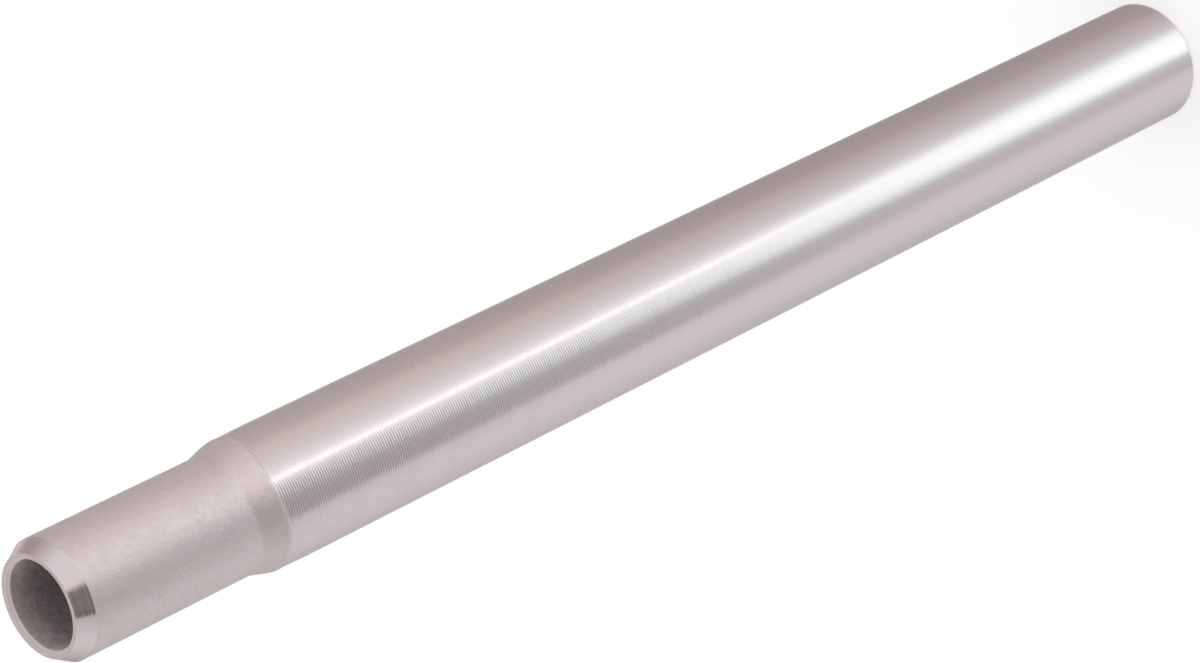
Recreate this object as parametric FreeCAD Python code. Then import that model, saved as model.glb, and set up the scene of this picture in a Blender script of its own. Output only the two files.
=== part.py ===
"""One-piece bicycle seatpost: an aluminium tube whose upper end is swaged down to a thinner neck.

The post stands upright on the end that goes into the bicycle's frame. The origin is the centre
of that end, and +Z runs up the tube's axis to the neck that the saddle's clamp grips.
"""
import FreeCAD, Part
import math
import os

# Driving dimensions, in millimetres. Depths are measured down from the neck's top face.
LENGTH = 300.0                 # from the bottom face to the neck's top face

TUBE_DIAMETER = 25.0           # the part that slides into the frame's seat tube
TUBE_WALL = 2.5
FOOT_CHAMFER = 0.5             # outer edge of the square-cut bottom end
FOOT_DEBURR = 0.3              # inner edge of the bottom end

NECK_DIAMETER = 22.2           # the part that the saddle's clamp grips
NECK_WALL = 2.95               # swaging thickens the wall
NECK_LENGTH = 40.0             # from the top face to the foot of the shoulder
TOP_CHAMFER_DEPTH = 3.0        # turned chamfer round the neck's outer edge, along the axis
TOP_CHAMFER_WIDTH = 1.75       # the same chamfer, across the wall
TOP_RIM_DEPTH = 0.8            # eased inner edge of the neck's mouth, along the axis
TOP_RIM_WIDTH = 0.3            # the same edge, across the wall

SHOULDER_LENGTH = 4.8          # cone from the neck up to the crest, along the axis
SHOULDER_FOOT_RADIUS = 4.0     # hollow blend between neck and cone
SHOULDER_CREST_RADIUS = 3.0    # rounded blend between cone and tube
SHOULDER_DRAW = 0.08           # swaging draws the tube in by this much at the crest
DRAW_LENGTH = 7.5              # length over which the tube eases out to full size
DRAW_BLEND_RADIUS = 120.0      # soft end of that ease

SKIN_OVERRUN = 0.45            # the matt swaged skin runs this far past the crest
TURNED_STEP = 0.06             # the turned surface lies this much below the skin's edge
TURNED_RUN_IN = 0.15           # length of the small ramp that the turning tool leaves

BORE_TAPER_LENGTH = 7.0        # inner cone between the neck's bore and the tube's bore
BORE_TAPER_LEAD = 0.5          # the inner cone begins this far above the outer one
BORE_BLEND_RADIUS = 6.0        # blends at both ends of the inner cone

# Sizes that follow from them. Heights are measured up from the bottom face.
TUBE_RADIUS = TUBE_DIAMETER / 2
TUBE_BORE_RADIUS = TUBE_RADIUS - TUBE_WALL
NECK_RADIUS = NECK_DIAMETER / 2
NECK_BORE_RADIUS = NECK_RADIUS - NECK_WALL
SHOULDER_FOOT_HEIGHT = LENGTH - NECK_LENGTH
CREST_HEIGHT = SHOULDER_FOOT_HEIGHT - SHOULDER_LENGTH
CREST_RADIUS = TUBE_RADIUS - SHOULDER_DRAW
DRAW_HEIGHT = CREST_HEIGHT - DRAW_LENGTH
SKIN_HEIGHT = CREST_HEIGHT - SKIN_OVERRUN
TURNED_HEIGHT = SKIN_HEIGHT - TURNED_RUN_IN
BORE_TAPER_TOP = SHOULDER_FOOT_HEIGHT + BORE_TAPER_LEAD
BORE_TAPER_FOOT = BORE_TAPER_TOP - BORE_TAPER_LENGTH

AXIS_FOOT = FreeCAD.Vector(0, 0, 0)
AXIS = FreeCAD.Vector(0, 0, 1)


def corner(radius, height, blend=0.0):
    """A corner of the half section: its place, and the radius of the blend that rounds it."""
    return FreeCAD.Vector(radius, 0, height), blend


def drawn_radius(height):
    """Outer radius of the tube where swaging has drawn it in, between crest and full size."""
    return CREST_RADIUS + SHOULDER_DRAW * (CREST_HEIGHT - height) / DRAW_LENGTH


def foot():
    """Square-cut bottom end, from its inner edge out to the tube's wall."""
    return [
        corner(TUBE_BORE_RADIUS, FOOT_DEBURR),
        corner(TUBE_BORE_RADIUS + FOOT_DEBURR, 0),
        corner(TUBE_RADIUS - FOOT_CHAMFER, 0),
        corner(TUBE_RADIUS, FOOT_CHAMFER),
    ]


def turned_surface():
    """Top of the turned length: it narrows a little and ends at the edge of the matt skin."""
    return [
        corner(TUBE_RADIUS, DRAW_HEIGHT, DRAW_BLEND_RADIUS),
        corner(drawn_radius(TURNED_HEIGHT) - TURNED_STEP, TURNED_HEIGHT),
        corner(drawn_radius(SKIN_HEIGHT), SKIN_HEIGHT),
    ]


def shoulder():
    """Swaged cone, rounded where it leaves the tube and where it meets the neck."""
    return [
        corner(CREST_RADIUS, CREST_HEIGHT, SHOULDER_CREST_RADIUS),
        corner(NECK_RADIUS, SHOULDER_FOOT_HEIGHT, SHOULDER_FOOT_RADIUS),
    ]


def neck_mouth():
    """Top end: the wide outer chamfer, the narrow flat ring and the eased inner edge."""
    return [
        corner(NECK_RADIUS, LENGTH - TOP_CHAMFER_DEPTH),
        corner(NECK_RADIUS - TOP_CHAMFER_WIDTH, LENGTH),
        corner(NECK_BORE_RADIUS + TOP_RIM_WIDTH, LENGTH),
        corner(NECK_BORE_RADIUS, LENGTH - TOP_RIM_DEPTH),
    ]


def bore():
    """Inside of the shoulder, where the neck's bore opens out to the tube's bore."""
    return [
        corner(NECK_BORE_RADIUS, BORE_TAPER_TOP, BORE_BLEND_RADIUS),
        corner(TUBE_BORE_RADIUS, BORE_TAPER_FOOT, BORE_BLEND_RADIUS),
    ]


def blend_arc(before, at, after, radius):
    """Start, middle and end of the arc of this radius that is tangent to both sides of a corner."""
    back = (before - at).normalize()
    ahead = (after - at).normalize()
    half_angle = back.getAngle(ahead) / 2
    reach = radius / math.tan(half_angle)
    to_centre = (back + ahead).normalize()
    middle = at + to_centre * (radius / math.sin(half_angle) - radius)
    return at + back * reach, middle, at + ahead * reach


def outline(corners):
    """Closed wire through the corners, with a tangent arc at each one that has a blend."""
    runs = []
    for index, (at, radius) in enumerate(corners):
        before = corners[index - 1][0]
        after = corners[(index + 1) % len(corners)][0]
        runs.append(blend_arc(before, at, after, radius) if radius else (at,))
    edges = []
    for index, run in enumerate(runs):
        if len(run) == 3:
            edges.append(Part.Arc(*run).toShape())
        following = runs[(index + 1) % len(runs)]
        edges.append(Part.LineSegment(run[-1], following[0]).toShape())
    return Part.Wire(edges)


def seatpost_tube():
    """The whole post: its half section turned once round the axis."""
    section = Part.Face(outline(foot() + turned_surface() + shoulder() + neck_mouth() + bore()))
    return section.revolve(AXIS_FOOT, AXIS, 360)


os.makedirs("parts", exist_ok=True)
seatpost_tube().exportStep("parts/seatpost_tube.step")
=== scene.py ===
"""The looks of a one-piece aluminium bicycle seatpost, in a plain white studio.

The post stands upright on the floor, its neck up. The camera looks down on it and is rolled, so
that the post lies across the picture with the neck's mouth at the lower left. All sizes are in
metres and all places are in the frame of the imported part.
"""
import math

import bpy
from mathutils import Matrix, Vector


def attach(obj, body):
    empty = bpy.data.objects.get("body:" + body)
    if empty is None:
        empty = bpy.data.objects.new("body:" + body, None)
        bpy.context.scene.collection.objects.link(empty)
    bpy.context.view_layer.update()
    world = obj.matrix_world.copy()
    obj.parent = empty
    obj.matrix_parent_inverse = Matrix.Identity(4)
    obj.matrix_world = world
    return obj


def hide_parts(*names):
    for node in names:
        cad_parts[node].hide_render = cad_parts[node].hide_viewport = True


MM = 0.001

# The post's sizes, the same as in the part's source
LENGTH = 300.0 * MM
TUBE_RADIUS = 12.5 * MM
TUBE_BORE_RADIUS = 10.0 * MM
FOOT_CHAMFER = 0.5 * MM
FOOT_DEBURR = 0.3 * MM
NECK_RADIUS = 11.1 * MM
NECK_BORE_RADIUS = 8.15 * MM
TOP_CHAMFER_DEPTH = 3.0 * MM
TOP_CHAMFER_WIDTH = 1.75 * MM
TOP_RIM_DEPTH = 0.8 * MM
TOP_RIM_WIDTH = 0.3 * MM
SHOULDER_FOOT_HEIGHT = LENGTH - 40.0 * MM
CREST_HEIGHT = SHOULDER_FOOT_HEIGHT - 4.8 * MM
CREST_RADIUS = TUBE_RADIUS - 0.08 * MM
DRAW_HEIGHT = CREST_HEIGHT - 7.5 * MM
SKIN_HEIGHT = CREST_HEIGHT - 0.45 * MM
TURNED_HEIGHT = SKIN_HEIGHT - 0.15 * MM
TURNED_STEP = 0.06 * MM
SHOULDER_FOOT_BLEND = 4.0 * MM
SHOULDER_CREST_BLEND = 3.0 * MM
DRAW_BLEND = 120.0 * MM
BORE_TAPER_TOP = SHOULDER_FOOT_HEIGHT + 0.5 * MM
BORE_TAPER_FOOT = BORE_TAPER_TOP - 7.0 * MM
BORE_BLEND = 6.0 * MM

# The shoulder and the edge of the matt skin wander up and down round the tube, because the swaged
# blank was a little out of round when the tube was turned. Each wave has its number of crests round
# the tube, its height and the azimuth of a crest, where 0 is the camera's side and 90 is +X.
SKIN_WAVES = (
    (1, 0.25 * MM, 33.0),
    (2, 0.52 * MM, -4.0),
    (3, 0.33 * MM, -4.0),
    (4, 0.30 * MM, 30.0),
)
WANDER_FADE = 6.0 * MM

# The grooves that the turning tool left: even feed marks on the tube, and uneven rings in its
# shade, in its gloss and on the chamfers
GROOVE_PITCH = 0.55 * MM
GROOVE_FADE = 140.0 * MM
SHADE_RING_PITCH = 1.1 * MM
GLOSS_RING_PITCH = 0.9 * MM
CHAMFER_RING_PITCH = 0.28 * MM
TUBE_ANISOTROPY = 0.9
CHAMFER_ANISOTROPY = 0.8

# How far down from the mouth the bore carries painted light: its tone brightens towards the mouth, so
# the bore looks shaded deeper in
BORE_PAINTED_LIGHT_DEPTH = 6.0 * MM

# Light and dark tone of each finish, and the depth of its relief
TONES = {
    "turned_tube": ((0.78, 0.70, 0.705), (0.58, 0.50, 0.505)),
    "matt_skin": ((0.765, 0.69, 0.685), (0.695, 0.625, 0.625)),
    "turned_chamfer": ((0.76, 0.69, 0.695), (0.69, 0.62, 0.625)),
    # The faced end's tones are darker than the tube's: painted shade that dims the upward-facing ring at
    # the mouth, and the foot with it.
    "faced_end": ((0.63, 0.575, 0.575), (0.58, 0.525, 0.525)),
    # The eased rim's light tone is brighter than bare metal; it carries the rim's painted light.
    "eased_rim": ((1.0, 0.94, 0.94), (0.74, 0.68, 0.68)),
    "raw_bore": ((0.89, 0.82, 0.825), (0.45, 0.415, 0.42)),
}
RELIEF = {
    "turned_tube": 0.043 * MM,
    "matt_skin": 0.08 * MM,
    "turned_chamfer": 0.009 * MM,
    "faced_end": 0.01 * MM,
    "eased_rim": 0.01 * MM,
    "raw_bore": 0.10 * MM,
}

# How finely the surface is divided
SIDES = 192
ARC_STEPS = 8
LONGEST_RUN = 8.0 * MM
SHORT_RUN = 0.12 * MM
EDGE_BREAK = 0.06 * MM
TOP_RIM_ROUND = 0.35 * MM
SHARP_EDGE = 18.0

# Camera, fitted to the photograph's outline
CAMERA_PLACE = (0.0, -0.62195, 0.69259)
CAMERA_HEADING = 0.0225
CAMERA_TILT = 49.730
CAMERA_ROLL = -116.249
CAMERA_LENS = 133.3
CAMERA_NEAREST = 0.01
CAMERA_FARTHEST = 50.0
SENSOR_WIDTH = 36.0

# Studio
FLOOR_RADIUS = 6.0
FLOOR_SIDES = 96
FLOOR_DROP = 0.02 * MM
FLOOR_COLOUR = (0.86, 0.86, 0.86)
FLOOR_GLOW = 0.33
SKY_STRENGTH = 0.8


def new_material(name):
    """An empty node material and its output node."""
    material = bpy.data.materials.new(name)
    material.use_nodes = True
    material.node_tree.nodes.clear()
    output = material.node_tree.nodes.new("ShaderNodeOutputMaterial")
    return material, output


class Nodes:
    """Short calls for adding and linking the nodes of one material."""

    def __init__(self, tree):
        self.tree = tree

    def add(self, kind, settings=(), **inputs):
        node = self.tree.nodes.new(kind)
        for name, value in dict(settings).items():
            setattr(node, name, value)
        for name, value in inputs.items():
            self.set(node.inputs[name.replace("_", " ")], value)
        return node

    def set(self, socket, value):
        if isinstance(value, bpy.types.NodeSocket):
            self.tree.links.new(value, socket)
        else:
            socket.default_value = value

    def math(self, operation, first, second=0.0, third=0.0):
        node = self.tree.nodes.new("ShaderNodeMath")
        node.operation = operation
        for socket, value in zip(node.inputs, (first, second, third)):
            self.set(socket, value)
        return node.outputs[0]

    def noise(self, vector, scale, detail=3.0, roughness=0.55):
        inputs = {"Vector": vector, "Scale": scale, "Detail": detail, "Roughness": roughness}
        return self.add("ShaderNodeTexNoise", **inputs).outputs["Fac"]

    def stretched(self, vector, factors):
        """The coordinate with a factor for each axis, so that a texture comes out stretched."""
        node = self.add("ShaderNodeVectorMath", {"operation": "MULTIPLY"})
        self.set(node.inputs[0], vector)
        node.inputs[1].default_value = factors
        return node.outputs[0]

    def remap(self, value, low, high, new_low, new_high):
        node = self.add("ShaderNodeMapRange")
        for socket, number in zip(node.inputs, (value, low, high, new_low, new_high)):
            self.set(socket, number)
        return node.outputs["Result"]

    def blend(self, factor, first, second):
        """Mix of two colours."""
        node = self.add("ShaderNodeMix", {"data_type": "RGBA"})
        self.set(node.inputs["Factor"], factor)
        for name, value in (("A", first), ("B", second)):
            socket = next(s for s in node.inputs if s.name == name and s.type == "RGBA")
            self.set(socket, value if isinstance(value, bpy.types.NodeSocket) else (*value, 1.0))
        return next(s for s in node.outputs if s.type == "RGBA")


def metal(name, tone, roughness, height, anisotropy=0.0):
    """Bare metal. tone, roughness and height each give a socket from the nodes and the place."""
    light_tone, dark_tone = TONES[name]
    material, output = new_material(name)
    nodes = Nodes(material.node_tree)
    place = nodes.add("ShaderNodeTexCoord").outputs["Object"]
    bump = nodes.add("ShaderNodeBump", Height=height(nodes, place), Distance=RELIEF[name])
    surface = nodes.add(
        "ShaderNodeBsdfPrincipled",
        Metallic=1.0,
        Base_Color=nodes.blend(tone(nodes, place), dark_tone, light_tone),
        Roughness=roughness(nodes, place),
        Normal=bump.outputs["Normal"],
    )
    if anisotropy:
        round_the_axis = nodes.add("ShaderNodeTangent", {"direction_type": "RADIAL", "axis": "Z"})
        nodes.set(surface.inputs["Tangent"], round_the_axis.outputs["Tangent"])
        surface.inputs["Anisotropic"].default_value = anisotropy
        # A quarter turn spreads the gloss across the grooves, along the axis
        surface.inputs["Anisotropic Rotation"].default_value = 0.25
    nodes.set(output.inputs["Surface"], surface.outputs["BSDF"])
    return material


def along_axis(nodes, place):
    """Height above the bottom face, as a socket."""
    return nodes.add("ShaderNodeSeparateXYZ", Vector=place).outputs["Z"]


def rings(nodes, place, pitch, detail):
    """Uneven turning grooves round the axis, 0 to 1, one for each pitch."""
    inputs = {"W": along_axis(nodes, place), "Scale": 1.0 / pitch, "Detail": detail}
    return nodes.add("ShaderNodeTexNoise", {"noise_dimensions": "1D"}, **inputs).outputs["Fac"]


def feed_marks(nodes, place, pitch):
    """Even grooves of the turning tool, 0 to 1, deepest near the shoulder, where the cut ended."""
    along = along_axis(nodes, place)
    turns = nodes.math("MULTIPLY", along, 2 * math.pi / pitch)
    phase = nodes.math("MULTIPLY_ADD", rings(nodes, place, 30 * pitch, 1.0), 4.0, turns)
    come_and_go = nodes.remap(rings(nodes, place, 12 * pitch, 1.0), 0.3, 0.7, 0.3, 0.5)
    faded = TURNED_HEIGHT - GROOVE_FADE
    full = TURNED_HEIGHT - GROOVE_FADE / 2
    deeper = nodes.remap(along, faded, full, 0.2, 1.0)
    depth = nodes.math("MULTIPLY", come_and_go, deeper)
    return nodes.math("MULTIPLY_ADD", nodes.math("SINE", phase), depth, 0.5)


def specks(nodes, place):
    """1 nearly everywhere, and less in a few small dark specks."""
    cells = nodes.add("ShaderNodeTexVoronoi", Vector=place, Scale=110.0)
    return nodes.remap(cells.outputs["Distance"], 0.018, 0.034, 0.35, 1.0)


def turned_tube_material():
    """The turned and polished length: feed marks with painted shade in their grooves, uneven rings and a
    few dark specks.
    """
    def tone(nodes, place):
        shade = nodes.remap(rings(nodes, place, SHADE_RING_PITCH, 2.0), 0.2, 0.8, 0.80, 0.87)
        # Painted shade: the feed marks darken the tone towards the bottoms of their grooves.
        groove_shaded_tone = nodes.math("MULTIPLY_ADD", feed_marks(nodes, place, GROOVE_PITCH), 0.09, shade)
        return nodes.math("MULTIPLY", groove_shaded_tone, specks(nodes, place))

    def roughness(nodes, place):
        return nodes.remap(rings(nodes, place, GLOSS_RING_PITCH, 2.0), 0.25, 0.75, 0.285, 0.32)

    def height(nodes, place):
        return feed_marks(nodes, place, GROOVE_PITCH)

    return metal("turned_tube", tone, roughness, height, TUBE_ANISOTROPY)


def matt_skin_material():
    """The swaged skin of neck and shoulder, cloudy and finely grained."""
    def tone(nodes, place):
        clouds = nodes.noise(place, 260.0, detail=2.0)
        grain = nodes.noise(place, 1500.0, detail=4.0, roughness=0.7)
        return nodes.remap(nodes.math("MULTIPLY_ADD", clouds, 0.5, grain), 0.55, 0.95, 0.0, 1.0)

    def roughness(nodes, place):
        return nodes.remap(nodes.noise(place, 900.0), 0.3, 0.7, 0.44, 0.54)

    def height(nodes, place):
        return nodes.noise(place, 2600.0, detail=4.0, roughness=0.7)

    return metal("matt_skin", tone, roughness, height)


def chamfer_material():
    """The turned chamfers, bright and ringed with fine tool marks."""
    def tone(nodes, place):
        return rings(nodes, place, CHAMFER_RING_PITCH, 1.0)

    def roughness(nodes, place):
        return nodes.remap(rings(nodes, place, CHAMFER_RING_PITCH, 2.0), 0.3, 0.7, 0.12, 0.28)

    def height(nodes, place):
        return rings(nodes, place, CHAMFER_RING_PITCH, 2.0)

    return metal("turned_chamfer", tone, roughness, height, CHAMFER_ANISOTROPY)


def end_face_material():
    """The faced ring at the mouth and the faced foot, in tones darkened with painted shade."""
    def tone(nodes, place):
        return nodes.noise(place, 700.0)

    def roughness(nodes, place):
        return nodes.remap(nodes.noise(place, 1500.0), 0.3, 0.7, 0.36, 0.44)

    def height(nodes, place):
        return nodes.noise(place, 3000.0)

    return metal("faced_end", tone, roughness, height)


def rim_material():
    """The eased rim of the mouth, with painted light that brightens its tone where it turns down into
    the bore.
    """
    def tone(nodes, place):
        along = along_axis(nodes, place)
        # Painted light: the tone brightens where the rim turns down to face the dark bore.
        painted_light_turned_down = nodes.remap(along, LENGTH - TOP_RIM_DEPTH / 2, LENGTH, 0.9, 0.0)
        return nodes.math("MULTIPLY_ADD", nodes.noise(place, 700.0), 0.1, painted_light_turned_down)

    def roughness(nodes, place):
        return nodes.remap(nodes.noise(place, 1500.0), 0.3, 0.7, 0.81, 0.89)

    def height(nodes, place):
        return nodes.noise(place, 3000.0)

    return metal("eased_rim", tone, roughness, height)


def bore_material():
    """The raw bore, blotchy, with painted light that brightens its tone near the mouth and leaves it
    shaded deeper in.
    """
    def tone(nodes, place):
        coarse_grain = nodes.noise(place, 850.0, detail=6.0, roughness=0.75)
        blotches = nodes.remap(coarse_grain, 0.36, 0.66, 0.0, 0.44)
        along = along_axis(nodes, place)
        # Painted light: brighter tone towards the mouth, darker deeper in, where shade falls.
        painted_light_near_mouth = nodes.remap(along, LENGTH - BORE_PAINTED_LIGHT_DEPTH, LENGTH - MM, 0.0, 0.56)
        return nodes.math("ADD", blotches, painted_light_near_mouth)

    def roughness(nodes, place):
        return nodes.remap(nodes.noise(place, 500.0), 0.3, 0.7, 0.72, 0.84)

    def height(nodes, place):
        drawn_out = nodes.stretched(place, (1.0, 1.0, 0.6))
        return nodes.noise(drawn_out, 2000.0, detail=4.0, roughness=0.7)

    return metal("raw_bore", tone, roughness, height)


def blend_points(before, at, after, radius):
    """Points of the arc of this radius that rounds one corner of the section."""
    back = (before - at).normalized()
    ahead = (after - at).normalized()
    half_angle = back.angle(ahead) / 2
    start = at + back * (radius / math.tan(half_angle))
    centre = at + (back + ahead).normalized() * (radius / math.sin(half_angle))
    arm = start - centre
    end_arm = at + ahead * (radius / math.tan(half_angle)) - centre
    turn = arm.angle_signed(end_arm)
    points = []
    for step in range(ARC_STEPS + 1):
        angle = -turn * step / ARC_STEPS
        points.append(centre + Matrix.Rotation(angle, 2) @ arm)
    return points


def drawn_radius(height):
    """Outer radius of the tube where swaging has drawn it in, between crest and full size."""
    share = (CREST_HEIGHT - height) / (CREST_HEIGHT - DRAW_HEIGHT)
    return CREST_RADIUS + (TUBE_RADIUS - CREST_RADIUS) * share


def section():
    """Corners of the half section, going up the outside and down the bore.

    Each corner has its distance from the axis, its height, the radius of its blend, and the
    finish of the run that leads from it to the next corner.
    """
    top_ring_radius = NECK_BORE_RADIUS + TOP_RIM_WIDTH
    return [
        (TUBE_BORE_RADIUS, FOOT_DEBURR, EDGE_BREAK, "faced_end"),
        (TUBE_BORE_RADIUS + FOOT_DEBURR, 0.0, EDGE_BREAK, "faced_end"),
        (TUBE_RADIUS - FOOT_CHAMFER, 0.0, EDGE_BREAK, "turned_chamfer"),
        (TUBE_RADIUS, FOOT_CHAMFER, EDGE_BREAK, "turned_tube"),
        (TUBE_RADIUS, DRAW_HEIGHT, DRAW_BLEND, "turned_tube"),
        (drawn_radius(TURNED_HEIGHT) - TURNED_STEP, TURNED_HEIGHT, 0.0, "turned_tube"),
        (drawn_radius(SKIN_HEIGHT), SKIN_HEIGHT, 0.0, "matt_skin"),
        (CREST_RADIUS, CREST_HEIGHT, SHOULDER_CREST_BLEND, "matt_skin"),
        (NECK_RADIUS, SHOULDER_FOOT_HEIGHT, SHOULDER_FOOT_BLEND, "matt_skin"),
        (NECK_RADIUS, LENGTH - TOP_CHAMFER_DEPTH, EDGE_BREAK, "turned_chamfer"),
        (NECK_RADIUS - TOP_CHAMFER_WIDTH, LENGTH, EDGE_BREAK, "faced_end"),
        (top_ring_radius, LENGTH, TOP_RIM_ROUND, "eased_rim"),
        (NECK_BORE_RADIUS, LENGTH - TOP_RIM_DEPTH, EDGE_BREAK, "raw_bore"),
        (NECK_BORE_RADIUS, BORE_TAPER_TOP, BORE_BLEND, "raw_bore"),
        (TUBE_BORE_RADIUS, BORE_TAPER_FOOT, BORE_BLEND, "raw_bore"),
    ]


def section_points():
    """Points round the whole half section, each with the finish of the run that starts there."""
    corners = section()
    places = [Vector((radius, height)) for radius, height, _, _ in corners]
    rounded = []
    for index, (_, _, blend, finish) in enumerate(corners):
        before = places[index - 1]
        after = places[(index + 1) % len(places)]
        if blend:
            arc = blend_points(before, places[index], after, blend)
        else:
            arc = [places[index]]
        rounded.append([(point, finish) for point in arc])
    points = []
    for index, arc in enumerate(rounded):
        points.extend(arc)
        start, finish = arc[-1]
        end = rounded[(index + 1) % len(rounded)][0][0]
        length = (end - start).length
        if length > 4 * SHORT_RUN:
            runs = math.ceil(length / LONGEST_RUN)
            near_end = SHORT_RUN / length
            shares = [near_end, *(step / runs for step in range(1, runs)), 1 - near_end]
            points.extend((start.lerp(end, share), finish) for share in shares)
    return points


def skin_wander(azimuth):
    """How far the skin's edge lies above its mean height, at an azimuth in degrees."""
    return sum(
        height * math.cos(math.radians(crests * (azimuth - first_crest)))
        for crests, height, first_crest in SKIN_WAVES
    )


def wander_share(height):
    """Share of the wander that a height on the outside takes: all on the shoulder, less beyond it."""
    below = TURNED_HEIGHT - SHORT_RUN - height
    above = height - SHOULDER_FOOT_HEIGHT - SHOULDER_FOOT_BLEND / 4
    return 1 - min(1.0, max(0.0, below, above) / WANDER_FADE)


def turned_vertices(points):
    """The section's points turned round the axis, one ring of vertices for each point."""
    vertices = []
    for point, finish in points:
        share = wander_share(point.y) if finish in ("turned_tube", "matt_skin") else 0.0
        for side in range(SIDES):
            angle = 2 * math.pi * side / SIDES
            height = point.y + share * skin_wander(math.degrees(angle) + 90)
            vertices.append((point.x * math.cos(angle), point.x * math.sin(angle), height))
    return vertices


def turned_faces(rings_of_vertices):
    """Faces between each ring of vertices and the next, and between the last and the first."""
    faces = []
    for row in range(rings_of_vertices):
        here = row * SIDES
        there = (row + 1) % rings_of_vertices * SIDES
        for side in range(SIDES):
            next_side = (side + 1) % SIDES
            faces.append((here + side, here + next_side, there + next_side, there + side))
    return faces


def seatpost(materials):
    """The post as one closed mesh, its half section turned round the axis with a finish for each run."""
    points = section_points()
    faces = turned_faces(len(points))
    names = list(materials)
    mesh = bpy.data.meshes.new("seatpost")
    mesh.from_pydata(turned_vertices(points), [], faces)
    for name in names:
        mesh.materials.append(materials[name])
    slots = [names.index(finish) for _, finish in points for _ in range(SIDES)]
    mesh.polygons.foreach_set("material_index", slots)
    mesh.polygons.foreach_set("use_smooth", [True] * len(faces))
    mesh.set_sharp_from_angle(angle=math.radians(SHARP_EDGE))
    mesh.update()
    post = bpy.data.objects.new("seatpost", mesh)
    bpy.context.scene.collection.objects.link(post)
    return post


# The tent of light that the metal mirrors. It stands round the post, and neither the camera nor the
# floor sees it. Azimuth 0 is the camera's side and 90 is +X. Each stop of a glow has its azimuth, its
# strength and its tint, and the glow runs evenly from stop to stop.
TENT_GAP = 0.2 * MM
TENT_LIFT = 0.4 * MM
TENT_NEAR_REACH = 0.15
TENT_REACH = 0.40
TENT_WAIST = 0.28
TENT_EAVES = 0.37
TENT_HEIGHT = 0.80
TENT_COLUMN_WIDTH = 4
NEUTRAL = (1.0, 1.0, 1.015)
CLEAR = (0.98, 1.0, 1.04)
COOL = (0.88, 1.0, 1.01)
WARM = (1.08, 1.0, 0.98)
TAN = (1.20, 1.0, 0.87)
BROWN = (1.18, 1.0, 1.0)
FLOOR_GLOWS = (
    (-180, 1.40, NEUTRAL),
    (-168, 1.20, NEUTRAL),
    (-162, 0.50, NEUTRAL),
    (-145, 0.56, CLEAR),
    (-120, 0.66, CLEAR),
    (-100, 0.82, CLEAR),
    (-66, 0.88, CLEAR),
    (-52, 0.84, CLEAR),
    (-47, 0.68, CLEAR),
    (-36, 0.72, CLEAR),
    (-25, 0.87, COOL),
    (-17, 1.46, COOL),
    (-8, 1.67, COOL),
    (5, 1.75, COOL),
    (13, 1.50, COOL),
    (21, 1.46, COOL),
    (29, 1.06, COOL),
    (38, 0.80, CLEAR),
    (48, 0.70, CLEAR),
    (66, 0.60, WARM),
    (78, 0.56, WARM),
    (82, 0.45, WARM),
    (116, 0.43, WARM),
    (135, 0.38, WARM),
    (162, 0.42, NEUTRAL),
    (168, 1.20, NEUTRAL),
    (180, 1.40, NEUTRAL),
)
LOWER_WALL_GLOWS = (
    (-180, 1.60, NEUTRAL),
    (-170, 1.40, NEUTRAL),
    (-166, 0.38, NEUTRAL),
    (-150, 0.55, NEUTRAL),
    (-115, 0.86, NEUTRAL),
    (-80, 0.94, NEUTRAL),
    (-54, 0.80, NEUTRAL),
    (-50, 0.22, WARM),
    (-40, 0.30, WARM),
    (-24, 0.32, WARM),
    (-16, 0.27, NEUTRAL),
    (-8, 0.21, NEUTRAL),
    (5, 0.34, CLEAR),
    (12, 0.42, CLEAR),
    (13, 3.20, CLEAR),
    (16, 3.20, CLEAR),
    (17, 1.15, CLEAR),
    (29, 1.12, NEUTRAL),
    (46, 0.93, NEUTRAL),
    (62, 0.74, WARM),
    (67, 0.78, TAN),
    (78, 0.82, TAN),
    (81, 0.54, WARM),
    (118, 0.53, WARM),
    (150, 0.48, WARM),
    (166, 0.50, NEUTRAL),
    (170, 1.40, NEUTRAL),
    (180, 1.60, NEUTRAL),
)
WAIST_GLOWS = (
    (-180, 0.50, WARM),
    (-158, 0.36, WARM),
    (-138, 0.56, WARM),
    (-120, 0.62, WARM),
    (-96, 0.55, NEUTRAL),
    (-60, 0.46, NEUTRAL),
    (-50, 0.32, WARM),
    (-30, 0.42, WARM),
    (-12, 0.45, WARM),
    (2, 0.66, WARM),
    (7, 1.55, WARM),
    (19, 1.55, WARM),
    (27, 1.08, WARM),
    (56, 0.98, NEUTRAL),
    (80, 0.90, NEUTRAL),
    (106, 0.64, WARM),
    (128, 0.44, WARM),
    (140, 0.44, WARM),
    (152, 0.78, WARM),
    (180, 0.50, WARM),
)
EAVES_GLOWS = (
    (-180, 0.45, WARM),
    (-158, 1.05, WARM),
    (-138, 1.15, WARM),
    (-120, 0.95, WARM),
    (-78, 0.74, NEUTRAL),
    (-56, 0.63, NEUTRAL),
    (-52, 0.13, BROWN),
    (-36, 0.21, BROWN),
    (-20, 0.19, BROWN),
    (-4, 0.20, BROWN),
    (6, 0.82, WARM),
    (20, 0.86, WARM),
    (48, 0.88, NEUTRAL),
    (62, 0.90, NEUTRAL),
    (90, 0.62, WARM),
    (105, 0.45, BROWN),
    (120, 0.20, BROWN),
    (132, 0.14, BROWN),
    (138, 1.10, WARM),
    (154, 1.30, WARM),
    (180, 0.45, WARM),
)


def glow_material():
    """Emission in the colour that the tent's vertices carry."""
    material, output = new_material("tent_glow")
    nodes = Nodes(material.node_tree)
    colour = nodes.add("ShaderNodeVertexColor", {"layer_name": "glow"}).outputs["Color"]
    glow = nodes.add("ShaderNodeEmission", Color=colour, Strength=1.0)
    nodes.set(output.inputs["Surface"], glow.outputs["Emission"])
    return material


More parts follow.
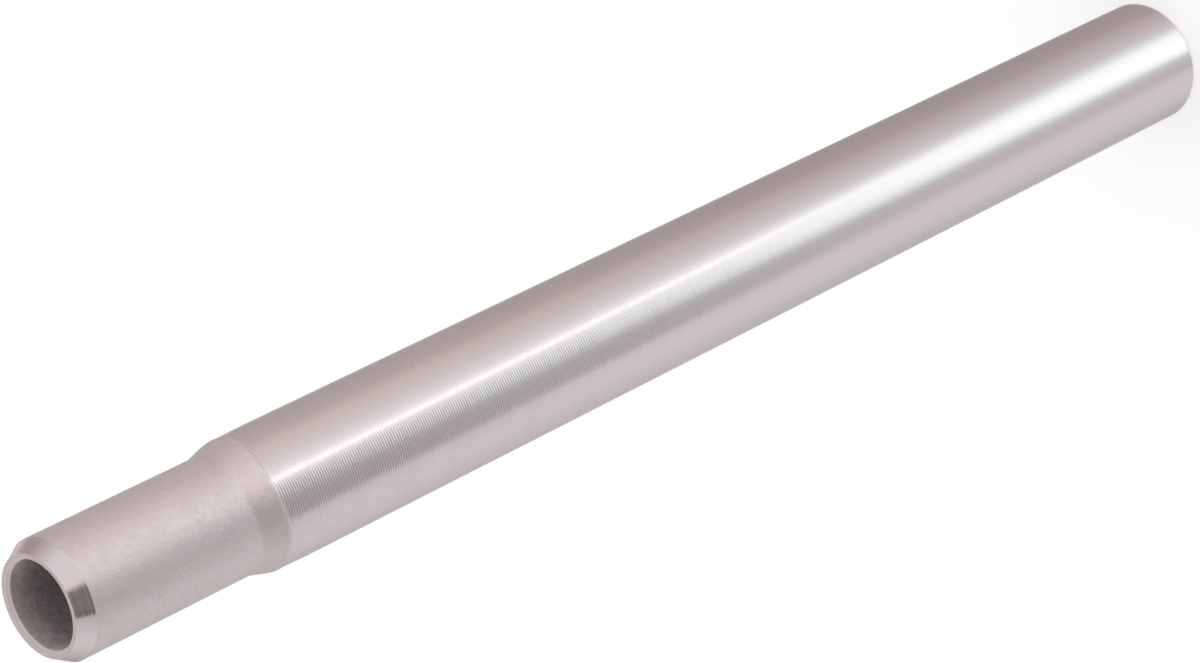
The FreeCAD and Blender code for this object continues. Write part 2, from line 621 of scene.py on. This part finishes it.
def glow_at(stops, azimuth):
    """Colour of a row of glow stops at an azimuth between them."""
    for (before, weak, cast), (after, strong, next_cast) in zip(stops, stops[1:]):
        if azimuth <= after:
            break
    share = (azimuth - before) / (after - before)
    return Vector(cast).lerp(Vector(next_cast), share) * (weak + (strong - weak) * share)


def tent_columns():
    """Azimuth and colours, from the inner edge to the top, for each column of the tent's mesh."""
    levels = (FLOOR_GLOWS, FLOOR_GLOWS, LOWER_WALL_GLOWS, WAIST_GLOWS, EAVES_GLOWS, EAVES_GLOWS)
    azimuths = {stop[0] for stops in levels for stop in stops}
    azimuths.update(range(-180, 180, TENT_COLUMN_WIDTH))
    return [(turn, [glow_at(stops, turn) for stops in levels]) for turn in sorted(azimuths)]


def heading(azimuth):
    """Level direction at an azimuth in degrees."""
    return Vector((math.sin(math.radians(azimuth)), -math.cos(math.radians(azimuth))))


def tent():
    """A ring of glowing cloth round the post: a floor out to its wall, and the wall.

    The camera sees each azimuth mirrored in the tube at half that azimuth. So each column starts
    there, close to the tube, and the mirrored bands run straight down to the tube's foot. Behind
    the post the tent is open, over the post's width.
    """
    path = [
        (0.0, TENT_LIFT),
        (TENT_NEAR_REACH, TENT_LIFT),
        (TENT_REACH, TENT_LIFT),
        (TENT_REACH, TENT_WAIST),
        (TENT_REACH, TENT_EAVES),
        (TENT_REACH, TENT_HEIGHT),
    ]
    columns = tent_columns()
    vertices = []
    colours = []
    for azimuth, glows in columns:
        start = heading(azimuth / 2) * (TUBE_RADIUS + TENT_GAP)
        for (reach, height), glow in zip(path, glows):
            vertices.append((*(start + heading(azimuth) * reach), height))
            colours.extend((*glow, 1.0))
    faces = []
    rows = len(path)
    for column in range(len(columns) - 1):
        here = column * rows
        there = here + rows
        for row in range(rows - 1):
            faces.append((here + row, here + row + 1, there + row + 1, there + row))
    mesh = bpy.data.meshes.new("light_tent")
    mesh.from_pydata(vertices, [], faces)
    mesh.color_attributes.new("glow", "FLOAT_COLOR", "POINT").data.foreach_set("color", colours)
    mesh.materials.append(glow_material())
    sheet = bpy.data.objects.new("light_tent", mesh)
    bpy.context.scene.collection.objects.link(sheet)
    sheet.visible_camera = False
    sheet.visible_diffuse = False
    sheet.visible_transmission = False
    sheet.visible_shadow = False


def seen_directly(nodes):
    """1 for a ray from the camera, from a mirror or through glass, 0 for one that lights a surface."""
    path = nodes.add("ShaderNodeLightPath").outputs
    seen = nodes.math("MAXIMUM", path["Is Camera Ray"], path["Is Glossy Ray"])
    return nodes.math("MAXIMUM", seen, path["Is Transmission Ray"])


def floor():
    """Round white floor that the post stands on."""
    vertices = [(0.0, 0.0, -FLOOR_DROP)]
    for side in range(FLOOR_SIDES):
        angle = 2 * math.pi * side / FLOOR_SIDES
        x = FLOOR_RADIUS * math.cos(angle)
        y = FLOOR_RADIUS * math.sin(angle)
        vertices.append((x, y, -FLOOR_DROP))
    faces = [(0, side + 1, (side + 1) % FLOOR_SIDES + 1) for side in range(FLOOR_SIDES)]
    mesh = bpy.data.meshes.new("floor")
    mesh.from_pydata(vertices, [], faces)
    material, output = new_material("floor_white")
    nodes = Nodes(material.node_tree)
    plain = nodes.add("ShaderNodeBsdfDiffuse", Color=(*FLOOR_COLOUR, 1.0))
    glow = nodes.math("MULTIPLY", seen_directly(nodes), FLOOR_GLOW)
    white = nodes.add("ShaderNodeEmission", Strength=glow)
    add = nodes.add("ShaderNodeAddShader")
    nodes.set(add.inputs[0], plain.outputs[0])
    nodes.set(add.inputs[1], white.outputs[0])
    nodes.set(output.inputs["Surface"], add.outputs[0])
    mesh.materials.append(material)
    ground = bpy.data.objects.new("floor", mesh)
    bpy.context.scene.collection.objects.link(ground)


def sky():
    """Even white light from all round, plain white where it is seen."""
    world = bpy.data.worlds.new("studio")
    world.use_nodes = True
    bpy.context.scene.world = world
    world.node_tree.nodes.clear()
    nodes = Nodes(world.node_tree)
    output = nodes.add("ShaderNodeOutputWorld")
    seen = seen_directly(nodes)
    strength = nodes.remap(seen, 0.0, 1.0, SKY_STRENGTH, 1.0)
    background = nodes.add("ShaderNodeBackground", Color=(1.0, 1.0, 1.0, 1.0), Strength=strength)
    nodes.set(output.inputs["Surface"], background.outputs[0])


def camera():
    """Camera at the photograph's viewing angle."""
    data = bpy.data.cameras.new("camera")
    data.sensor_width = SENSOR_WIDTH
    data.lens = CAMERA_LENS
    data.clip_start = CAMERA_NEAREST
    data.clip_end = CAMERA_FARTHEST
    eye = bpy.data.objects.new("camera", data)
    bpy.context.scene.collection.objects.link(eye)
    turn = Matrix.Rotation(math.radians(CAMERA_HEADING), 4, "Z")
    tilt = Matrix.Rotation(math.radians(CAMERA_TILT), 4, "X")
    roll = Matrix.Rotation(math.radians(CAMERA_ROLL), 4, "Z")
    eye.matrix_world = Matrix.Translation(CAMERA_PLACE) @ turn @ tilt @ roll
    bpy.context.scene.camera = eye


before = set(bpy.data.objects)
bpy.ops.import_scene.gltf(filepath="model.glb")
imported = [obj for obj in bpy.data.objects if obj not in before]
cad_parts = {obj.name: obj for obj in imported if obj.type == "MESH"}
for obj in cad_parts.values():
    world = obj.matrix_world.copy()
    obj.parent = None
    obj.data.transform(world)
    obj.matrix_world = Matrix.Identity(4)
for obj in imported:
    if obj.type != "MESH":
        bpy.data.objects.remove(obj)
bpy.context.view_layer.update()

finishes = {
    "turned_tube": turned_tube_material(),
    "matt_skin": matt_skin_material(),
    "turned_chamfer": chamfer_material(),
    "faced_end": end_face_material(),
    "eased_rim": rim_material(),
    "raw_bore": bore_material(),
}
post = seatpost(finishes)
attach(post, "root")
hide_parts("seatpost_tube")

floor()
tent()
sky()
camera()
bpy.context.scene.view_settings.view_transform = "Standard"
